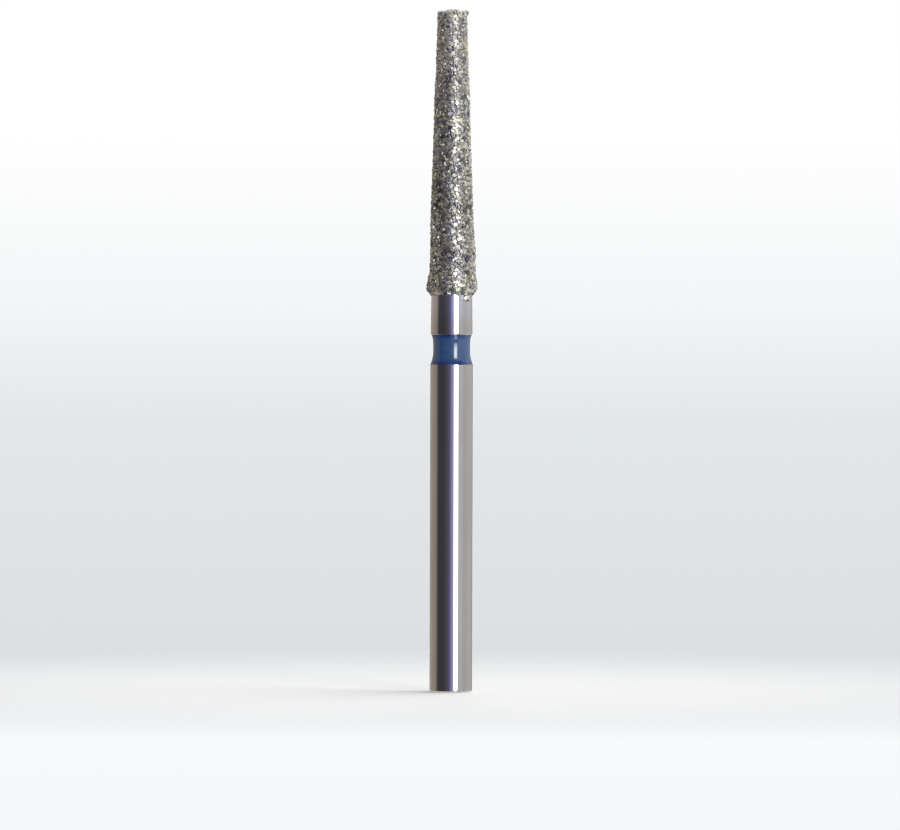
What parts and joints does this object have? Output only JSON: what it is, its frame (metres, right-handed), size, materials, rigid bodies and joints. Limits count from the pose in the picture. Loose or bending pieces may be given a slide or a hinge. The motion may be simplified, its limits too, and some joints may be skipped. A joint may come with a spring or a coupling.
{
  "type": "dental bur",
  "caption": "Tapered flat-end dental bur with a diamond-grit head, a steel neck, a blue colour ring in a groove and a smooth cylindrical friction-grip shank.",
  "frame": {"origin": "centre of the shank's flat end, where the bur stands", "axes": "+Z along the bur's axis towards the head's tip; X and Y are interchangeable, as the bur is round"},
  "size_m": [0.0019, 0.002, 0.0255],
  "materials": {
    "ground_steel": "bright centreless-ground stainless steel",
    "diamond_grit": "pale yellow-grey diamond grains held in a satin nickel bond",
    "ring_enamel": "glossy blue enamel"
  },
  "bodies": {
    "root": {"bur_blank": "ground_steel", "diamond_coat": "diamond_grit", "colour_ring": "ring_enamel"}
  },
  "joints": []
}
